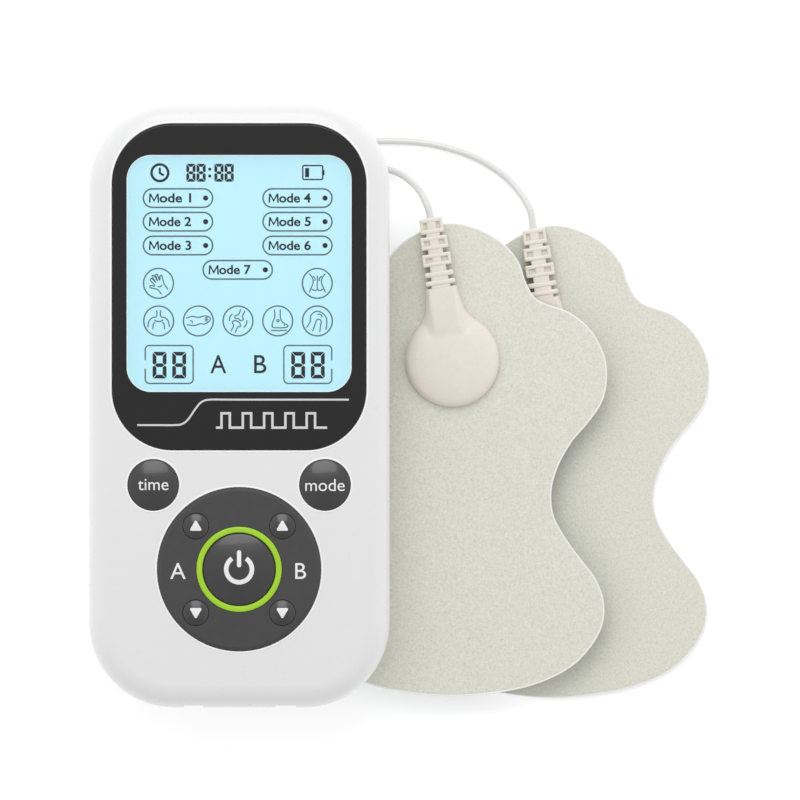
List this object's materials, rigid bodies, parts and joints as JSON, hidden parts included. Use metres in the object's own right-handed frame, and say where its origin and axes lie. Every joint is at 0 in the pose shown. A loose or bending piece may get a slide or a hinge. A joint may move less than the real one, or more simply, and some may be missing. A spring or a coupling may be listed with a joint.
{
  "type": "tens unit",
  "caption": "Handheld nerve stimulator with a display, round keys, a belt clip, two lead sockets, two press-stud electrode pads and a lead set.",
  "frame": {"origin": "on the resting plane, under the centre of the handset's outline, on the outer face of the belt clip", "axes": "+Z out of the display face, +Y towards the handset's top end, +X towards the electrode pads, right of the display"},
  "size_m": [0.1346, 0.131, 0.0313],
  "materials": {
    "case_white": "glossy injection-moulded ABS",
    "lens_clear": "clear hard-coated acrylic",
    "mask_black": "black print behind the lens",
    "lcd_glass": "pale blue backlit display",
    "diffuser_white": "white light guide",
    "holder_white": "matte",
    "elastomer": "layered silicone",
    "dial_grey": "satin dark grey",
    "ring_lime": "translucent lime",
    "membrane_silicone": "matte silicone",
    "switch_steel": "stamped",
    "board_green": "solder mask",
    "chip_black": "moulded epoxy",
    "transformer_tape": "taped winding",
    "capacitor_sleeve": "sleeve",
    "buzzer_black": "matte",
    "socket_grey": "matte",
    "cell_sleeve": "metallic sleeve, no print",
    "contact_steel": "nickel plated",
    "pin_steel": "ground",
    "screw_steel": "zinc plated",
    "button_dark": "satin domed",
    "pad_fabric": "fine non-woven backing with a pale edge",
    "pad_film": "carbon-filled film",
    "pad_gel": "clear hydrogel",
    "stud_steel": "nickel plated",
    "connector_ivory": "soft satin vinyl",
    "clip_brass": "stamped",
    "lead_white": "white vinyl sheath"
  },
  "bodies": {
    "handset": {"front_shell": "case_white", "back_shell": "case_white", "window_lens": "lens_clear", "bezel_mask": "mask_black", "lcd_panel": "lcd_glass", "backlight_diffuser": "diffuser_white", "lcd_holder": "holder_white", "lcd_connectors": "elastomer", "dial_plate": "dial_grey", "light_ring": "ring_lime", "keypad_membrane": "membrane_silicone", "dome_switches": "switch_steel", "main_board": "board_green", "controller_chip": "chip_black", "output_transformers": "transformer_tape", "capacitors": "capacitor_sleeve", "buzzer": "buzzer_black", "lead_socket_a": "socket_grey", "lead_socket_b": "socket_grey", "battery_cells": "cell_sleeve", "battery_contacts": "contact_steel", "clip_pin": "pin_steel", "clip_spring": "pin_steel", "case_screws": "screw_steel", "board_screws": "screw_steel", "snap_housing_a": "connector_ivory", "snap_housing_b": "connector_ivory", "snap_boot_a": "connector_ivory", "snap_boot_b": "connector_ivory", "snap_socket_a": "clip_brass", "snap_socket_b": "clip_brass", "lead_branch_a": "lead_white", "lead_branch_b": "lead_white", "y_splitter": "lead_white", "lead_main": "lead_white", "lead_coil": "lead_white", "lead_tail": "lead_white", "plug_body": "lead_white", "plug_pin": "stud_steel"},
    "battery_door": {"battery_door": "case_white"},
    "belt_clip": {"belt_clip": "case_white"},
    "pad_a": {"pad_a_backing": "pad_fabric", "pad_a_film": "pad_film", "pad_a_gel": "pad_gel", "pad_a_stud": "stud_steel"},
    "pad_b": {"pad_b_backing": "pad_fabric", "pad_b_film": "pad_film", "pad_b_gel": "pad_gel", "pad_b_stud": "stud_steel"},
    "button_time": {"button_time": "button_dark"},
    "button_mode": {"button_mode": "button_dark"},
    "button_power": {"button_power": "button_dark"},
    "button_a_up": {"button_a_up": "button_dark"},
    "button_a_down": {"button_a_down": "button_dark"},
    "button_b_up": {"button_b_up": "button_dark"},
    "button_b_down": {"button_b_down": "button_dark"}
  },
  "joints": [
    {"name": "button_time_press", "type": "slide", "parent": "handset", "child": "button_time", "axis": [0, 0, -1], "range_m": [0, 0.0006], "stiffness_N_per_m": 3000},
    {"name": "button_mode_press", "type": "slide", "parent": "handset", "child": "button_mode", "axis": [0, 0, -1], "range_m": [0, 0.0006], "stiffness_N_per_m": 3000},
    {"name": "button_power_press", "type": "slide", "parent": "handset", "child": "button_power", "axis": [0, 0, -1], "range_m": [0, 0.0006], "stiffness_N_per_m": 3000},
    {"name": "button_a_up_press", "type": "slide", "parent": "handset", "child": "button_a_up", "axis": [0, 0, -1], "range_m": [0, 0.0006], "stiffness_N_per_m": 3000},
    {"name": "button_a_down_press", "type": "slide", "parent": "handset", "child": "button_a_down", "axis": [0, 0, -1], "range_m": [0, 0.0006], "stiffness_N_per_m": 3000},
    {"name": "button_b_up_press", "type": "slide", "parent": "handset", "child": "button_b_up", "axis": [0, 0, -1], "range_m": [0, 0.0006], "stiffness_N_per_m": 3000},
    {"name": "button_b_down_press", "type": "slide", "parent": "handset", "child": "button_b_down", "axis": [0, 0, -1], "range_m": [0, 0.0006], "stiffness_N_per_m": 3000},
    {"name": "battery_door_slide", "type": "slide", "parent": "handset", "child": "battery_door", "axis": [0, -1, 0], "range_m": [0, 0.07]},
    {"name": "belt_clip_open", "type": "hinge", "parent": "handset", "child": "belt_clip", "pos_m": [0, 0.0295, 0.005], "axis": [1, 0, 0], "range_deg": [0, 12], "stiffness_Nm_per_rad": 0.6, "springref_deg": -11.46},
    {"name": "pad_a_swivel", "type": "hinge", "parent": "handset", "child": "pad_a", "pos_m": [0.0461, 0.0097, 0.0072], "axis": [0, 0, 1], "range_deg": [-10, 10]},
    {"name": "pad_b_swivel", "type": "hinge", "parent": "handset", "child": "pad_b", "pos_m": [0.0685, 0.0074, 0.0014], "axis": [0, 0, 1], "range_deg": [-10, 10]}
  ]
}
